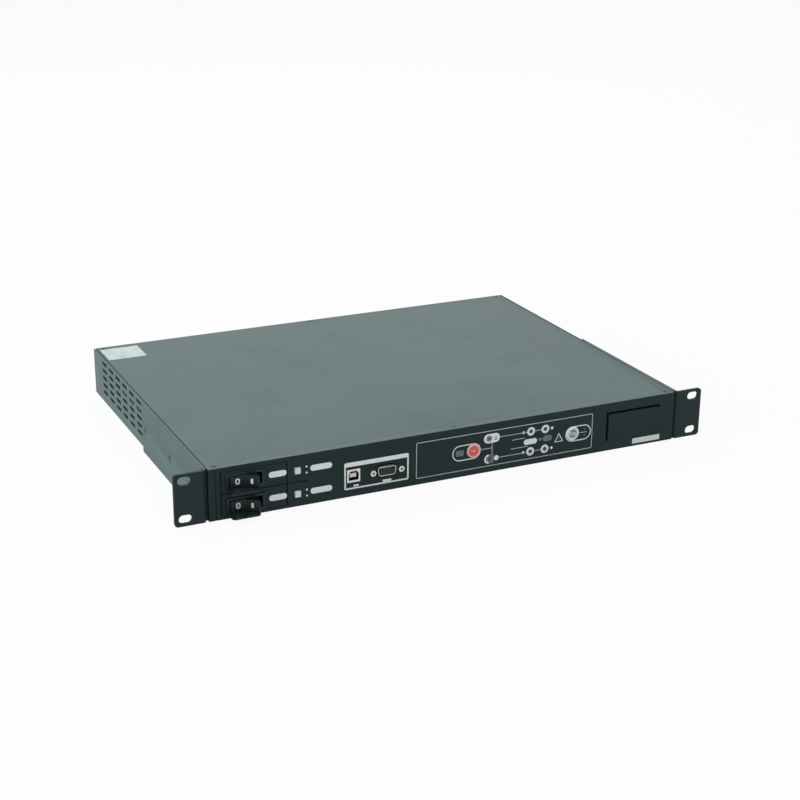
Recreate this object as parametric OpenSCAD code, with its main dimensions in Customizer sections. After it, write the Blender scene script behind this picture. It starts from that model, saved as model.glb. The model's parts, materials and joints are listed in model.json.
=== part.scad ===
// Rack static transfer switch, one rack unit high, for a 19-inch rack.
// X runs to the right, Y to the rear, Z up. The origin is the centre of the
// four rack slots, on the front face of the ears. All sizes are millimetres.

/* [Rack format] */
// Width over both ears
rack_w = 482.6; // [482:0.1:483]
// Height of the ears and of the case
panel_h = 43.65; // [43.4:0.05:44]
// Slot centre to slot centre across the rack
slot_pitch_x = 465.1; // [464.5:0.1:466]
// Slot centre to slot centre up the rack
slot_pitch_z = 31.75; // [31.5:0.05:32]
// End-to-end length of a rack slot
slot_len = 10.8; // [10:0.1:12]
// Width of a rack slot
slot_w = 7; // [6.4:0.1:7.4]

/* [Case] */
// Width of the case between the ear flanges
case_w = 430; // [429:0.5:431]
// Depth of the case
case_d = 320; // [318:1:330]
// Thickness of the folded steel sheet
sheet_t = 1.2; // [1:0.1:1.5]
// Thickness of the front panel
front_t = 2; // [1.8:0.1:2.4]
// Thickness of the ear brackets
ear_t = 2.5; // [2:0.1:2.5]
// Length of an ear's flange along the case
ear_flange_d = 161; // [158:1:164]

/* [Side vents] */
// Rows of slots in each side wall
vent_rows = 5; // [3:1:5]
// Columns of slots in each side wall
vent_cols = 6; // [3:1:6]
// Length of one slot
vent_len = 14.5; // [10:0.5:16]
// Height of one slot
vent_h = 3; // [2:0.1:3.4]

/* [Circuit breakers] */
// Centre height of the upper breaker
breaker_z_top = 8.8; // [8.6:0.1:9]
// Drop from the upper breaker to the lower one
breaker_pitch = 20.4; // [20.2:0.1:20.6]
// Angle that a rocker swings through
rocker_swing = 41; // [36:1:41]
// Reach of the guard below each rocker
guard_reach = 13.8; // [10:0.1:14]

/* [Display] */
// Diameter of the two round buttons
round_button_d = 12.2; // [11:0.1:12.2]
// Diameter of a lamp
lamp_d = 3; // [2.6:0.1:3]

/* [Cooling] */
// Size of the fan's square frame
fan_size = 40; // [38:0.5:40]
// Number of fan blades
fan_blades = 7; // [5:1:9]
// Number of heat sink fins
fin_count = 20; // [12:1:22]

/* [Hidden] */

e = 0.01;
top_z = panel_h / 2;
bottom_z = -panel_h / 2;
floor_z = bottom_z + sheet_t;
under_cover_z = top_z - sheet_t;
inner_w = case_w - 2 * sheet_t;

// Sheet colours
case_grey = [0.42, 0.47, 0.475];
panel_black = [0.13, 0.16, 0.165];
zinc = [0.72, 0.74, 0.74];
board_green = [0.08, 0.32, 0.2];
plastic_black = [0.08, 0.08, 0.085];

// ---------- shared shapes ----------

// A slot outline with round ends, along X
module slot_outline(length, width) {
    square([length - width, width], center = true);
    for (side = [-1, 1])
        translate([side * (length - width) / 2, 0]) circle(d = width, $fn = 32);
}

// A rectangle with all four corners round, centred
module round_rect(w, h, r) {
    square([w - 2 * r, h], center = true);
    square([w, h - 2 * r], center = true);
    for (sx = [-1, 1], sy = [-1, 1])
        translate([sx * (w / 2 - r), sy * (h / 2 - r)]) circle(r = r, $fn = 32);
}

// Stands an XY outline up in the XZ plane and gives it depth from y0 to y1
module upright(y0, y1) {
    translate([0, y1, 0]) rotate([90, 0, 0]) linear_extrude(y1 - y0) children();
}

// A round bar along Y from y0 to y1
module bar_y(d, y0, y1, fn = 32) {
    translate([0, y0, 0]) rotate([-90, 0, 0]) cylinder(d = d, h = y1 - y0, $fn = fn);
}

// A block given by its lowest corner and its highest corner
module block(low, high) {
    translate(low) cube(high - low);
}

// Hole for a countersunk screw: a cone the size of its head, then a clear shank hole
module countersink(d, head_d) {
    head_h = (head_d - d) / 2;
    translate([0, 0, -head_h]) cylinder(d1 = d, d2 = head_d, h = head_h, $fn = 32);
    translate([0, 0, -head_h - 5]) cylinder(d = d + 0.1, h = 5.05, $fn = 32);
}

// Countersunk screw along -Z with the top of its head at the origin
module flat_screw(d, head_d, length) {
    head_h = (head_d - d) / 2;
    difference() {
        union() {
            translate([0, 0, -head_h]) cylinder(d1 = d, d2 = head_d, h = head_h, $fn = 32);
            translate([0, 0, -length]) cylinder(d = d, h = length - head_h + e, $fn = 24);
        }
        for (turn = [0, 90])
            rotate(turn) cube([head_d * 0.55, 0.8, 1.2], center = true);
    }
}

// Pan-head screw along -Z, with the underside of its head at the origin
module pan_screw(d, head_d, length) {
    difference() {
        union() {
            cylinder(d1 = head_d, d2 = head_d * 0.72, h = d * 0.6, $fn = 32);
            translate([0, 0, -length]) cylinder(d = d, h = length + e, $fn = 24);
        }
        for (turn = [0, 90])
            rotate(turn) translate([0, 0, d * 0.6]) cube([head_d * 0.5, 0.8, 1.4], center = true);
    }
}

// ---------- case ----------

cover_screw_x = 206.8;
cover_screw_y = 4.6;
cover_screw_d = 3;
cover_head_d = 5.3;
cover_gap = 0.9;
ledge_w = 9;
flange_d = 12;
wall_front_y = front_t + 0.6;
ledge_inset = flange_d + 3;

vent_pitch_y = 21.4;
vent_pitch_z = 7;
vent_y0 = 177.5;
vent_z0 = 17.5;

ear_screw_ys = [18, 85, 152];
ear_screw_z = 0.6;
ear_screw_d = 4;
ear_head_d = 8;

module side_vents() {
    for (row = [0:vent_rows - 1], col = [0:vent_cols - 1])
        translate([0, vent_y0 + col * vent_pitch_y, vent_z0 - row * vent_pitch_z])
            rotate([90, 0, 90]) linear_extrude(3 * sheet_t, center = true)
                slot_outline(vent_len, vent_h);
}

// Section of the folded tray: floor, two walls and the ledges that carry the cover
module tray_section() {
    bend = 1.6;
    difference() {
        union() {
            translate([-case_w / 2, bottom_z + bend]) square([case_w, panel_h - bend]);
            translate([-case_w / 2 + bend, bottom_z]) square([case_w - 2 * bend, panel_h / 2]);
            for (side = [-1, 1])
                translate([side * (case_w / 2 - bend), bottom_z + bend]) circle(r = bend, $fn = 32);
        }
        translate([-inner_w / 2, floor_z]) square([inner_w, panel_h]);
    }
}

module base_tray() color(case_grey) difference() {
    union() {
        upright(wall_front_y, case_d) tray_section();
        for (side = [-1, 1])
            translate([side * (inner_w / 2 - ledge_w / 2 + e), case_d / 2, under_cover_z - sheet_t / 2])
                cube([ledge_w, case_d - 2 * ledge_inset, sheet_t], center = true);
    }
    for (side = [-1, 1]) {
        translate([side * case_w / 2, 0, 0]) side_vents();
        for (y = ear_screw_ys)
            translate([side * case_w / 2, y, ear_screw_z])
                rotate([0, 90, 0]) cylinder(d = ear_screw_d + 0.1, h = 4 * sheet_t, center = true, $fn = 32);
    }
}

module top_cover() color(case_grey) difference() {
    block([-inner_w / 2 + cover_gap, 0, under_cover_z], [inner_w / 2 - cover_gap, case_d, top_z]);
    for (x = [-cover_screw_x, 0, cover_screw_x], y = [cover_screw_y, case_d - cover_screw_y])
        translate([x, y, top_z]) countersink(cover_screw_d, cover_head_d);
}

module cover_screws() color(case_grey * 0.7)
    for (x = [-cover_screw_x, 0, cover_screw_x], y = [cover_screw_y, case_d - cover_screw_y])
        translate([x, y, top_z]) flat_screw(cover_screw_d, cover_head_d, 4);

// ---------- front panel ----------

panel_w = 426.8;
// Window for the two breaker plates
plate_x0 = -203.6;
plate_x1 = -148;
plate_z0 = -19.4;
plate_z1 = 18;
plate_split_z = -0.8;
plate_gap = 0.8;
// Line between the panel's end trim and the breaker plates
trim_line_x = -207.6;

select_x = -139.8;
select_zs = [9, -11];
select_cap = [4.6, 5];
select_reach = 1.8;
select_gap = 0.5;

usb_x = -91.5;
usb_z = -3.8;
usb_size = [11.5, 11.2];
serial_x = -63.6;
serial_z = -3;
serial_post_pitch = 25;

red_button_x = 16.7;
white_button_x = 111.7;
round_button_z = -0.4;
button_hole_gap = 0.4;

// Lamp places on the flow diagram: two inputs, four thyristors, fault, two outputs
lamp_places = [[31.3, 8.1], [31.3, -10.2], [71, 8.1], [84.8, 8.1], [71, -9.9], [84.8, -9.9],
    [98.1, -2.4], [123.2, 2.2], [123.2, -3.6]];
lamp_hole_gap = 0.2;

card_x0 = 145;
card_x1 = 199;
card_z0 = -12.8;
card_z1 = 13.3;
card_lap = 4;
// Open gap left of and above the blanking plate
card_gap = 2.2;
card_fit = 0.15;
card_screw_places = [[card_x1 + 2, card_z0 + 4], [card_x1 + 2, card_z1 - 7],
    [card_x0 + 12, card_z0 - 2], [card_x1 - 12, card_z0 - 2]];

// Outline of a nine-way D socket; grow makes it larger all round
module d_outline(grow = 0) {
    corner = 2.2;
    hull() for (p = [[-5.9, 1.7], [5.9, 1.7], [-5.2, -1.7], [5.2, -1.7]])
        translate(p) circle(r = corner + grow, $fn = 24);
}

module front_panel() color(panel_black) difference() {
    union() {
        block([-panel_w / 2, 0, bottom_z], [panel_w / 2, front_t, under_cover_z - 0.15]);
        // return flanges under the cover and over the floor
        for (z = [under_cover_z - 0.15 - sheet_t, floor_z])
            block([-panel_w / 2 + 0.6, front_t - e, z], [panel_w / 2 - 0.6, flange_d, z + sheet_t]);
    }
    // window of the breaker plates
    block([plate_x0, -1, plate_z0], [plate_x1, front_t + 1, plate_z1]);
    // joint line beside the select buttons
    block([plate_x1 - e, -1, plate_split_z - 0.4], [-130.6, 1, plate_split_z + 0.4]);
    block([trim_line_x - 0.3, -1, bottom_z - 1], [trim_line_x + 0.3, 0.8, top_z]);
    for (z = select_zs)
        translate([select_x, front_t / 2, z])
            cube([select_cap[0] + 2 * select_gap, 3 * front_t, select_cap[1] + 2 * select_gap], center = true);
    translate([usb_x, 0, usb_z]) cube([usb_size[0] + 0.4, 4 * front_t, usb_size[1] + 0.4], center = true);
    translate([serial_x, 0, serial_z]) {
        upright(-1, front_t + 1) d_outline(0.7);
        for (side = [-1, 1]) translate([side * serial_post_pitch / 2, 0, 0]) bar_y(3.2, -1, front_t + 1);
    }
    for (x = [red_button_x, white_button_x])
        translate([x, 0, round_button_z]) bar_y(round_button_d + 2 * button_hole_gap, -1, front_t + 1, 64);
    for (p = lamp_places)
        translate([p[0], 0, p[1]]) bar_y(lamp_d + lamp_hole_gap, -1, front_t + 1);
    block([card_x0, -1, card_z0], [card_x1, front_t + 1, card_z1]);
    for (p = card_screw_places) translate([p[0], 0, p[1]]) bar_y(2, front_t - 1.2, front_t + 1, 24);
    for (x = [-cover_screw_x, 0, cover_screw_x])
        translate([x, cover_screw_y, under_cover_z - 2 * sheet_t])
            cylinder(d = cover_screw_d + 0.1, h = 3 * sheet_t, $fn = 32);
}

// ---------- rack ears ----------

// Section of a left ear seen from above: slotted plate, bend, flange along the case
module ear_section() {
    outer_r = 3.2;
    x_in = -case_w / 2;
    difference() {
        union() {
            translate([-rack_w / 2, 0]) square([rack_w / 2 + x_in - outer_r, ear_t]);
            translate([x_in - ear_t, outer_r]) square([ear_t, ear_flange_d - outer_r]);
            intersection() {
                translate([x_in - outer_r, outer_r]) circle(r = outer_r, $fn = 48);
                translate([x_in - outer_r - e, -e]) square([outer_r + 1, outer_r + 2 * e]);
            }
        }
        translate([x_in - outer_r, outer_r]) circle(r = outer_r - ear_t, $fn = 32);
    }
}

// Square block with a round taken out of it, to round the corner at the origin
module corner_cut(r, depth) {
    translate([r, 0, r]) rotate([90, 0, 0]) difference() {
        translate([-r - 1, -r - 1, 0]) translate([0, 0, -depth / 2]) cube([r + 1, r + 1, depth]);
        cylinder(r = r, h = depth + 1, center = true, $fn = 48);
    }
}

module left_ear() color(panel_black) difference() {
    translate([0, 0, bottom_z]) linear_extrude(panel_h) ear_section();
    for (side = [-1, 1])
        translate([-slot_pitch_x / 2, 0, side * slot_pitch_z / 2])
            upright(-1, ear_t + 1) slot_outline(slot_len, slot_w);
    translate([-rack_w / 2, 0, bottom_z]) corner_cut(3, 8);
    translate([-rack_w / 2, 0, top_z]) mirror([0, 0, 1]) corner_cut(3, 8);
    for (y = ear_screw_ys)
        translate([-case_w / 2 - ear_t, y, ear_screw_z])
            rotate([0, -90, 0]) countersink(ear_screw_d, ear_head_d);
}

module rack_ear_left() left_ear();
module rack_ear_right() mirror([1, 0, 0]) left_ear();

module ear_screws() color(case_grey * 0.7)
    for (side = [0, 1]) mirror([side, 0, 0])
        for (y = ear_screw_ys)
            translate([-case_w / 2 - ear_t, y, ear_screw_z])
                rotate([0, -90, 0]) flat_screw(ear_screw_d, ear_head_d, 8);

// ---------- circuit breakers ----------

breaker_x = -183.15;
arm_len = 12;
arm_rise = 3;
rocker_h = 9;
rocker_pivot_y = 0.9;
trunnion_d = 2.4;
running_gap = 0.05;
breaker_wall = 1.7;
breaker_cavity_w = 27.4;
breaker_cavity_h = rocker_h + 0.8;
breaker_body_d = 36;
bezel_reach = 0.9;

function breaker_z(index) = breaker_z_top - index * breaker_pitch;

module breaker_plate(z0, z1, index) color(panel_black) difference() {
    union() {
        block([plate_x0 + plate_gap, 0, z0], [plate_x1 - plate_gap, front_t, z1]);
        block([plate_x0 - 3, front_t, z0], [plate_x1 + 3, front_t + sheet_t, z1]);
    }
    translate([breaker_x, 0, breaker_z(index)])
        cube([breaker_cavity_w + 2 * breaker_wall + 0.2, 20,
            breaker_cavity_h + 2 * breaker_wall + 0.2], center = true);
}

module breaker_plate_upper() breaker_plate(plate_split_z + 0.4, plate_z1 - 0.4, 0);
module breaker_plate_lower() breaker_plate(plate_z0 + 0.4, plate_split_z - 0.4, 1);

// Moulded body: bezel, guard shelf under the rocker, well for the rocker, case behind
module breaker_body(index) color(plastic_black)
    translate([breaker_x, 0, breaker_z(index)]) difference() {
        w = breaker_cavity_w + 2 * breaker_wall;
        h = breaker_cavity_h + 2 * breaker_wall;
        union() {
            block([-w / 2, 0, -h / 2], [w / 2, breaker_body_d, h / 2]);
            block([-w / 2 - 0.7, -bezel_reach, -h / 2 - 0.3], [w / 2 + 0.7, 0, h / 2 + 0.3]);
            // the guard: a shelf with two round corners
            translate([-3.8, 0, -h / 2 + 0.4]) linear_extrude(breaker_wall - 0.4) {
                translate([-11.9, -guard_reach + 3]) square([23.8, guard_reach - 3]);
                translate([-8.9, -guard_reach]) square([17.8, guard_reach]);
                for (side = [-1, 1])
                    translate([side * 8.9, -guard_reach + 3]) circle(r = 3, $fn = 32);
            }
        }
        block([-breaker_cavity_w / 2, -bezel_reach - 1, -breaker_cavity_h / 2],
            [breaker_cavity_w / 2, rocker_pivot_y + 6.6, breaker_cavity_h / 2]);
        translate([0, rocker_pivot_y, 0])
            cylinder(d = trunnion_d + 2 * running_gap, h = h + 2, center = true, $fn = 48);
    }

module breaker_body_upper() breaker_body(0);
module breaker_body_lower() breaker_body(1);

// Rocker at mid travel, seen from above, with its pivot at the origin and its face towards -Y
module rocker_section() {
    tilt = rocker_swing / 2;
    tip = [arm_len * cos(tilt), arm_rise + arm_len * sin(tilt)];
    polygon([[-tip[0], -tip[1]], [-1.2, -arm_rise], [1.2, -arm_rise], [tip[0], -tip[1]],
        [tip[0] + 0.6, -tip[1] + 2], [9, 1.4], [3.6, 3.8], [-3.6, 3.8], [-9, 1.4],
        [-tip[0] - 0.6, -tip[1] + 2]]);
}

module breaker_rocker(index) color(plastic_black)
    translate([breaker_x, rocker_pivot_y, breaker_z(index)]) {
        rotate(-rocker_swing / 2) linear_extrude(rocker_h, center = true) rocker_section();
        cylinder(d = trunnion_d, h = breaker_cavity_h + 2 * breaker_wall - 0.4, center = true, $fn = 48);
    }

module breaker_rocker_upper() breaker_rocker(0);
module breaker_rocker_lower() breaker_rocker(1);

module breaker_tabs() color("goldenrod")
    for (index = [0, 1], x = [-9, 9], z = [-3, 3])
        translate([breaker_x + x, breaker_body_d, breaker_z(index) + z]) difference() {
            translate([-3.15, 0, -0.4]) cube([6.3, 9, 0.8]);
            translate([0, 6, 0]) cylinder(d = 1.6, h = 3, center = true, $fn = 24);
        }

// ---------- select buttons ----------

select_travel = 1;
select_board_y = 13;
select_pillar_z = -1;
board_t = 1.6;
plunger_d = 3;

// Cap with a shoulder behind the panel and a round plunger into its switch
module select_button(index) color([0.93, 0.94, 0.93])
    translate([select_x, 0, select_zs[index]]) {
        block([-select_cap[0] / 2, -select_reach, -select_cap[1] / 2],
            [select_cap[0] / 2, front_t + 0.6, select_cap[1] / 2]);
        block([-3.3, front_t + 0.5, -3.4], [3.3, front_t + 1.5, 3.4]);
        bar_y(plunger_d, front_t + 1.4, 9, 48);
    }

module select_button_upper() select_button(0);
module select_button_lower() select_button(1);

// Switch body on its board, with the bore that the plunger slides in
module select_switch(index) color([0.2, 0.2, 0.21])
    translate([select_x, 0, select_zs[index]]) difference() {
        block([-3.2, 5, -3.2], [3.2, select_board_y, 3.2]);
        bar_y(plunger_d + 2 * running_gap, 0, select_board_y - 1, 48);
    }

module select_switch_upper() select_switch(0);
module select_switch_lower() select_switch(1);

module select_board() color(board_green) difference() {
    block([-146.5, select_board_y, -17.5], [-131.5, select_board_y + board_t, 14.5]);
    translate([select_x, 0, select_pillar_z]) bar_y(3.2, 5, 20, 24);
}

// ---------- ports ----------

usb_depth = 16;

module usb_shell() color(zinc) translate([usb_x, 0, usb_z]) difference() {
    block([-usb_size[0] / 2, -0.5, -usb_size[1] / 2], [usb_size[0] / 2, usb_depth, usb_size[1] / 2]);
    // mouth with its two upper corners cut off
    upright(-2, usb_depth - 1)
        polygon([[-4.25, -3.9], [4.25, -3.9], [4.25, 2.1], [2.6, 3.9], [-2.6, 3.9], [-4.25, 2.1]]);
}

module usb_insert() color([0.9, 0.9, 0.88]) translate([usb_x, 0, usb_z]) {
    block([-2.8, 1, -1.6], [2.8, 11.1, 1.6]);
    upright(11, usb_depth - 1)
        polygon([[-4.2, -3.85], [4.2, -3.85], [4.2, 2.1], [2.6, 3.85], [-2.6, 3.85], [-4.2, 2.1]]);
}

serial_flange_y = front_t;

module serial_shell() color(zinc) translate([serial_x, 0, serial_z]) difference() {
    union() {
        upright(serial_flange_y, serial_flange_y + 1) round_rect(30.8, 12.5, 1.5);
        upright(-4, serial_flange_y + 0.5) d_outline(0);
    }
    upright(-5, serial_flange_y + 2) d_outline(-0.5);
    for (side = [-1, 1]) translate([side * serial_post_pitch / 2, 0, 0]) bar_y(3.1, 0, 5);
}

// Black block with nine contact holes, five over four
module serial_insert() color(plastic_black) translate([serial_x, 0, serial_z]) difference() {
    union() {
        upright(-3.4, serial_flange_y + 1.1) d_outline(-0.55);
        block([-9.5, serial_flange_y + 1, control_board_z - serial_z], [9.5, 14, 5.4]);
    }
    for (col = [0:4]) translate([(col - 2) * 2.3, 0, 1.4]) bar_y(1.1, -5, -1, 16);
    for (col = [0:3]) translate([(col - 1.5) * 2.3, 0, -1.4]) bar_y(1.1, -5, -1, 16);
}

module serial_posts() color(zinc) translate([serial_x, 0, serial_z])
    for (side = [-1, 1]) translate([side * serial_post_pitch / 2, 0, 0]) difference() {
        union() {
            bar_y(5.4, -5, 0, 6);
            bar_y(3, -e, 8, 32);
        }
        bar_y(2.4, -6, -1, 24);
    }

// ---------- display ----------

mimic_board_y = 9;
round_button_reach = 0.7;
round_travel = 1;

module mimic_board() color(board_green) difference() {
    block([2, mimic_board_y, -15.5], [130, mimic_board_y + board_t, 14]);
    for (p = mimic_board_places) translate([p[0], 0, p[1]]) bar_y(3.2, 5, 15);
}

module status_lamps() color([0.85, 0.95, 0.85])
    for (p = lamp_places) translate([p[0], 0, p[1]]) rotate([90, 0, 0]) {
        translate([0, 0, -mimic_board_y]) cylinder(d = lamp_d, h = mimic_board_y - 0.4, $fn = 32);
        translate([0, 0, -mimic_board_y]) cylinder(d = lamp_d + 0.7, h = 1.4, $fn = 32);
        translate([0, 0, -0.41]) intersection() {
            sphere(d = lamp_d, $fn = 32);
            cylinder(d = lamp_d, h = lamp_d, $fn = 32);
        }
    }

// Round cap with a bevelled rim, a shoulder behind the panel and a plunger
module round_button(x, face) color(face) translate([x, 0, round_button_z]) rotate([90, 0, 0]) {
    rotate_extrude($fn = 64) polygon([[0, -front_t - 1.6], [round_button_d / 2 + 1, -front_t - 1.6],
        [round_button_d / 2 + 1, -front_t - 0.6], [round_button_d / 2, -front_t - 0.6],
        [round_button_d / 2, round_button_reach - 0.6], [round_button_d / 2 - 0.6, round_button_reach],
        [round_button_d / 2 - 1.8, round_button_reach], [round_button_d / 2 - 2.1, round_button_reach - 0.4],
        [0, round_button_reach - 0.4]]);
    translate([0, 0, -7.5]) cylinder(d = plunger_d, h = 4.5, $fn = 48);
}

module red_button() round_button(red_button_x, [0.75, 0.12, 0.13]);
module white_button() round_button(white_button_x, [0.9, 0.91, 0.9]);

// Key switch on the display board, bored for the plunger
module key_switch(x) color([0.2, 0.2, 0.21]) translate([x, 0, round_button_z]) difference() {
    block([-3.2, 5, -3.2], [3.2, mimic_board_y, 3.2]);
    bar_y(plunger_d + 2 * running_gap, 4, mimic_board_y - 0.2, 48);
}

module red_button_switch() key_switch(red_button_x);
module white_button_switch() key_switch(white_button_x);

// ---------- card slot ----------

// Blanking plate flush with the panel, folded back all round and flanged below and to the right
module card_slot_cover() color(panel_black) {
    x0 = card_x0 + card_gap;
    x1 = card_x1 - card_fit;
    z0 = card_z0 + card_fit;
    z1 = card_z1 - card_gap;
    back_y = front_t + sheet_t;
    difference() {
        union() {
            block([x0, 0, z0], [x1, sheet_t, z1]);
            block([x0, 0, z0], [x1, back_y, z0 + sheet_t]);
            block([x1 - sheet_t, 0, z0], [x1, back_y, z1]);
            block([x0, 0, z1 - sheet_t], [x1, 6, z1]);
            block([x0, 0, z0], [x0 + sheet_t, 6, z1]);
            block([x0, front_t, card_z0 - card_lap], [card_x1 + card_lap, back_y, z0 + sheet_t]);
            block([x1 - sheet_t, front_t, card_z0 - card_lap], [card_x1 + card_lap, back_y, z1]);
        }
        for (p = card_screw_places) translate([p[0], 0, p[1]]) bar_y(2.2, 1, 5);
    }
}

module card_slot_screws() color(zinc)
    for (p = card_screw_places) translate([p[0], front_t + sheet_t, p[1]])
        rotate([-90, 0, 0]) pan_screw(2, 3.6, sheet_t + 1.2);

// ---------- boards ----------

control_board_z = usb_z - usb_size[1] / 2;
power_board_z = -14;
board_screw_d = 2.8;
board_screw_bite = 3;
mimic_board_places = [for (x = [8, 124], z = [-12, 10.8]) [x, z]];
power_board_places = [for (x = [-66, 40, 150], y = [72, 254]) [x, y]];
control_board_places = [for (x = [-124, -48], y = [22, 52]) [x, y]];

module board(low, high, places, hole_d = 3.2) {
    difference() {
        block(low, high);
        for (p = places) translate([p[0], p[1], low[2] - 1]) cylinder(d = hole_d, h = board_t + 2, $fn = 24);
    }
}

module power_board() color(board_green)
    board([-74, 64, power_board_z - board_t], [158, 262, power_board_z], power_board_places);

module control_board() color(board_green)
    board([-128, 4.5, control_board_z - board_t], [-44, 58, control_board_z], control_board_places);

// Hexagonal spacer along +Z, bored for the screw at its far end
module pillar(size, height) difference() {
    cylinder(d = size, h = height, $fn = 6);
    translate([0, 0, height - board_screw_bite - 0.5])
        cylinder(d = board_screw_d, h = board_screw_bite + 1, $fn = 24);
}

// Spacers under both flat boards and behind the front panel
module board_pillars() color(zinc) {
    for (p = power_board_places) translate([p[0], p[1], floor_z])
        pillar(6, power_board_z - board_t - floor_z);
    for (p = control_board_places) translate([p[0], p[1], floor_z])
        pillar(6, control_board_z - board_t - floor_z);
    for (p = mimic_board_places) translate([p[0], front_t, p[1]])
        rotate([-90, 0, 0]) pillar(5, mimic_board_y - front_t);
    translate([select_x, front_t, select_pillar_z])
        rotate([-90, 0, 0]) pillar(5, select_board_y - front_t);
}

module board_screw() pan_screw(board_screw_d, 5.6, board_t + board_screw_bite);

module board_screws() color(zinc) {
    for (p = power_board_places) translate([p[0], p[1], power_board_z]) board_screw();
    for (p = control_board_places) translate([p[0], p[1], control_board_z]) board_screw();
    for (p = mimic_board_places) translate([p[0], mimic_board_y + board_t, p[1]])
        rotate([-90, 0, 0]) board_screw();
    translate([select_x, select_board_y + board_t, select_pillar_z]) rotate([-90, 0, 0]) board_screw();
}

// ---------- power stage ----------

sink_low = [-206, 168, floor_z];
sink_size = [100, 100];
sink_base_z = -4;
sink_base_t = 4.5;
fin_t = 1.6;
module_z = sink_base_z + sink_base_t;
module_places = [for (x = [-181, -131], y = [192, 242]) [x, y]];

// Extruded sink: fins down to the floor, running across the case
module heat_sink() color([0.75, 0.76, 0.78]) difference() {
    union() {
        block([sink_low[0], sink_low[1], sink_base_z],
            [sink_low[0] + sink_size[0], sink_low[1] + sink_size[1], module_z]);
        for (i = [0:fin_count - 1])
            translate([sink_low[0], sink_low[1] + i * (sink_size[1] - fin_t) / (fin_count - 1), floor_z])
                cube([sink_size[0], fin_t, sink_base_z - floor_z + e]);
    }
    for (p = module_places, side = [-1, 1])
        translate([p[0], p[1] + side * 15, sink_base_z - 1]) cylinder(d = 3.3, h = sink_base_t + 2, $fn = 24);
}

// Thyristor pair in a moulded block with four screw terminals and two fixing holes
module thyristor(index) color([0.15, 0.15, 0.16])
    translate([module_places[index][0], module_places[index][1], module_z]) difference() {
        union() {
            translate([0, 0, 4.5]) cube([25, 38, 9], center = true);
            for (sx = [-1, 1], sy = [-1, 1])
                translate([sx * 7, sy * 7, 0]) cylinder(d = 8, h = 12, $fn = 32);
        }
        for (side = [-1, 1]) translate([0, side * 15, -1]) {
            cylinder(d = 4.2, h = 12, $fn = 24);
            translate([0, 0, 5]) cylinder(d = 8, h = 8, $fn = 24);
        }
        for (sx = [-1, 1], sy = [-1, 1])
            translate([sx * 7, sy * 7, 6]) cylinder(d = 3.2, h = 10, $fn = 24);
    }

module thyristor_1() thyristor(0);
module thyristor_2() thyristor(1);
module thyristor_3() thyristor(2);
module thyristor_4() thyristor(3);

module relay(y) color([0.1, 0.12, 0.2]) translate([118, y, power_board_z]) {
    linear_extrude(26) round_rect(50, 30, 1.5);
    translate([0, 0, 25.9]) linear_extrude(1.1) round_rect(42, 22, 1.5);
}

module relay_1() relay(212);
module relay_2() relay(172);

module current_sensors() color([0.12, 0.14, 0.3])
    for (y = [140, 112]) translate([118, y, power_board_z]) {
        linear_extrude(12) round_rect(34, 16, 1);
        translate([0, 0, 11.9]) linear_extrude(6) round_rect(20, 16, 1);
    }

// Laminated core with its bobbin and winding
module supply_transformer() color([0.35, 0.33, 0.32]) translate([20, 120, power_board_z]) {
    difference() {
        translate([0, 0, 14]) cube([44, 18, 28], center = true);
        for (side = [-1, 1]) translate([side * 11, 0, 14]) cube([8.6, 20, 16], center = true);
    }
    for (side = [-1, 1]) translate([0, side * 12.5, 14]) cube([28, 7.02, 15], center = true);
}

module filter_capacitors() color([0.85, 0.75, 0.2])
    for (i = [0:3]) translate([-30 + i * 34, 200, power_board_z]) linear_extrude(24) round_rect(26, 15, 1.2);

bar_x0 = -142;
bar_x1 = -58;
bar_t = 1.5;

// Flat copper bars from the relays across to the thyristors
module power_bars() color([0.75, 0.45, 0.25])
    for (y = [180, 244]) {
        block([bar_x0, y, module_z + 12], [bar_x1, y + 10, module_z + 12 + bar_t]);
        block([bar_x1 - bar_t, y, power_board_z], [bar_x1, y + 10, module_z + 12 + bar_t]);
    }

// ---------- fan ----------

fan_x = -98;
fan_y = 218;
fan_d = 14;
fan_bore = 37;
hub_d = 18;
fan_shaft_d = 3;
fan_z = floor_z + fan_size / 2 + 0.2;

// Square duct with four bolt holes, three struts and a bearing tube; its axis is X
module fan_frame() color(plastic_black) translate([fan_x, fan_y, fan_z]) rotate([0, 90, 0]) difference() {
    union() {
        difference() {
            linear_extrude(fan_d) round_rect(fan_size, fan_size, 3);
            translate([0, 0, -1]) cylinder(d = fan_bore, h = fan_d + 2, $fn = 64);
        }
        for (turn = [0:120:240]) rotate(turn) translate([0, -1.2, 0]) cube([fan_bore / 2 + 0.4, 2.4, 1.6]);
        cylinder(d = hub_d, h = 1.6, $fn = 48);
        cylinder(d = 6, h = 8, $fn = 32);
    }
    translate([0, 0, -1]) cylinder(d = fan_shaft_d + 2 * running_gap, h = 20, $fn = 48);
    for (sx = [-1, 1], sy = [-1, 1])
        translate([sx * fan_size * 0.4, sy * fan_size * 0.4, -1]) cylinder(d = 3.4, h = fan_d + 2, $fn = 24);
}

// Hub cup, shaft and blades set at an angle
module fan_rotor() color([0.2, 0.2, 0.22]) translate([fan_x, fan_y, fan_z]) rotate([0, 90, 0]) {
    difference() {
        translate([0, 0, 2.4]) cylinder(d = hub_d, h = 10.6, $fn = 48);
        translate([0, 0, 1]) cylinder(d = 11, h = 10, $fn = 48);
    }
    translate([0, 0, 0.4]) cylinder(d = fan_shaft_d, h = 11, $fn = 48);
    for (i = [0:fan_blades - 1]) rotate(i * 360 / fan_blades)
        intersection() {
            translate([hub_d / 2 - 1, 0, 7.7]) rotate([38, 0, 0])
                translate([0, -5.2, -0.6]) cube([fan_bore / 2 - hub_d / 2 + 0.2, 10.4, 1.2]);
            translate([0, 0, 2.4]) cylinder(d = fan_bore - 1.2, h = 10.6, $fn = 64);
        }
}

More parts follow.
